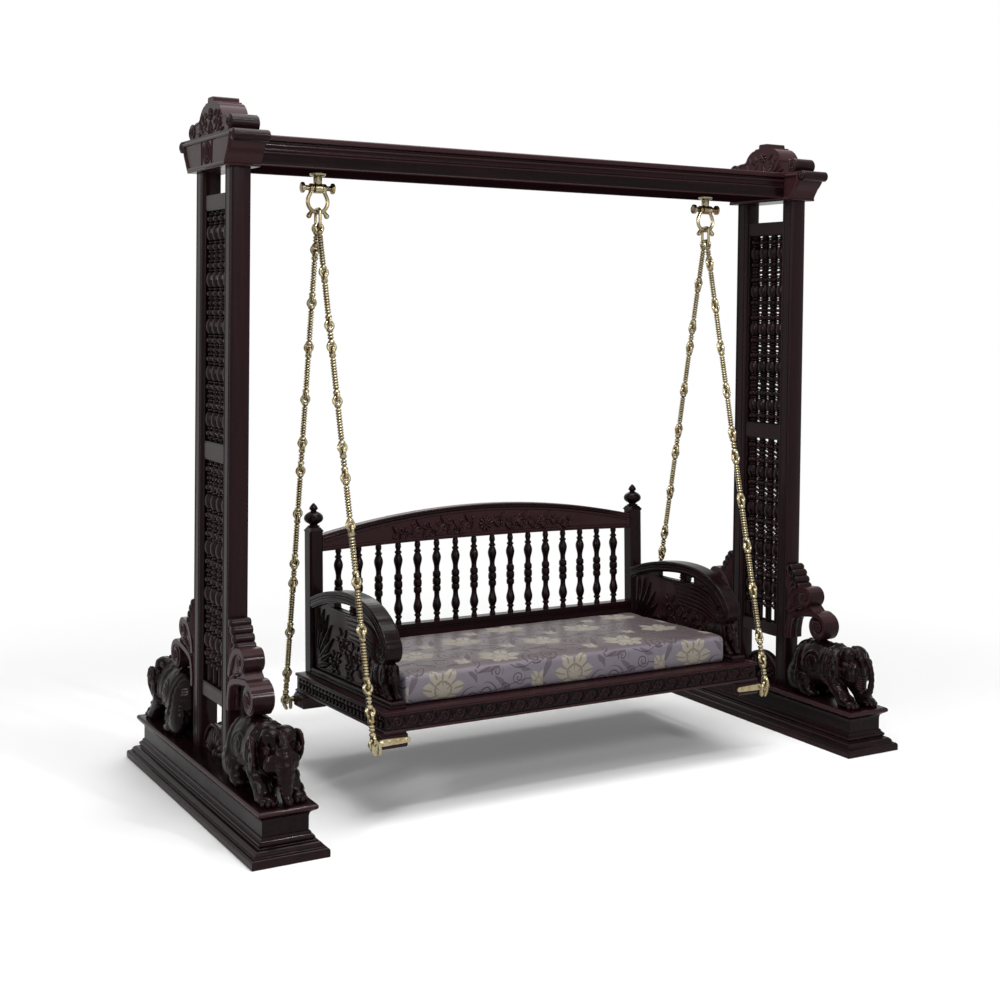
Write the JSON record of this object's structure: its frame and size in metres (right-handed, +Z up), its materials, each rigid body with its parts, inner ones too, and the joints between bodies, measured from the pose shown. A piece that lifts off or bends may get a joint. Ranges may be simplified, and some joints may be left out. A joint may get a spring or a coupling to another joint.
{
  "type": "jhoola swing",
  "caption": "Carved wooden indoor swing: a cushioned seat with arms and a spindle back hangs on four brass chains from a beam between two side frames.",
  "frame": {"origin": "on the floor, midway between the side frames and midway front to back", "axes": "+X along the beam to the right side frame as seen from the front, +Z up, -Y the front that a sitter faces"},
  "size_m": [2.38, 1.17, 2.15],
  "materials": {
    "dark_wood": "gloss",
    "brass": "satin",
    "brocade": "satin"
  },
  "bodies": {
    "stand": {"left_plinth": "dark_wood", "left_plinth_top": "dark_wood", "left_rails": "dark_wood", "left_lower_lattice": "dark_wood", "left_upper_lattice": "dark_wood", "left_arch_carving": "dark_wood", "left_capital": "dark_wood", "left_crest": "dark_wood", "left_hanger_bolt": "brass", "left_hanger_pin": "brass", "left_front_stile": "dark_wood", "left_front_bracket": "dark_wood", "left_front_elephant": "dark_wood", "left_rear_stile": "dark_wood", "left_rear_bracket": "dark_wood", "left_rear_elephant": "dark_wood", "right_plinth": "dark_wood", "right_plinth_top": "dark_wood", "right_rails": "dark_wood", "right_lower_lattice": "dark_wood", "right_upper_lattice": "dark_wood", "right_arch_carving": "dark_wood", "right_capital": "dark_wood", "right_crest": "dark_wood", "right_hanger_bolt": "brass", "right_hanger_pin": "brass", "right_front_stile": "dark_wood", "right_front_bracket": "dark_wood", "right_front_elephant": "dark_wood", "right_rear_stile": "dark_wood", "right_rear_bracket": "dark_wood", "right_rear_elephant": "dark_wood", "beam": "dark_wood"},
    "left_hanger": {"left_bow_shackle": "brass"},
    "right_hanger": {"right_bow_shackle": "brass"},
    "left_chains": {"left_connector_link": "brass", "left_front_chain": "brass", "left_rear_chain": "brass"},
    "right_chains": {"right_connector_link": "brass", "right_front_chain": "brass", "right_rear_chain": "brass"},
    "seat": {"front_apron": "dark_wood", "rear_apron": "dark_wood", "left_apron": "dark_wood", "right_apron": "dark_wood", "seat_deck": "dark_wood", "corner_blocks": "dark_wood", "chain_straps": "brass", "left_back_post": "dark_wood", "right_back_post": "dark_wood", "post_finials": "dark_wood", "crest_rail": "dark_wood", "lower_back_rail": "dark_wood", "back_spindles": "dark_wood", "left_arm": "dark_wood", "right_arm": "dark_wood", "arm_base_rails": "dark_wood", "arm_panels": "dark_wood", "arm_elephants": "dark_wood", "cushion": "brocade"}
  },
  "joints": [
    {"name": "swing", "type": "hinge", "parent": "stand", "child": "left_hanger", "pos_m": [-0.765, 0, 1.894], "axis": [1, 0, 0], "range_deg": [-25, 25]},
    {"name": "right_swing", "type": "hinge", "parent": "stand", "child": "right_hanger", "pos_m": [0.765, 0, 1.894], "axis": [1, 0, 0], "range_deg": [-25, 25]},
    {"name": "side_sway", "type": "hinge", "parent": "left_hanger", "child": "left_chains", "pos_m": [-0.765, -0.00234, 1.82884], "axis": [0, 0.9994, -0.0359], "range_deg": [-5, 5]},
    {"name": "right_side_sway", "type": "hinge", "parent": "right_hanger", "child": "right_chains", "pos_m": [0.765, -0.00234, 1.82884], "axis": [0, 0.9994, -0.0359], "range_deg": [-5, 5]},
    {"name": "seat_level", "type": "hinge", "parent": "left_chains", "child": "seat", "pos_m": [-0.745, -0.05982, 0.22727], "axis": [0, 0.9994, -0.0359], "range_deg": [-5.2, 5.2]}
  ],
  "couplings": [
    {"joint": "right_swing", "follows": "swing", "ratio": 1},
    {"joint": "right_side_sway", "follows": "side_sway", "ratio": 1},
    {"joint": "seat_level", "follows": "side_sway", "ratio": -1.0268}
  ]
}
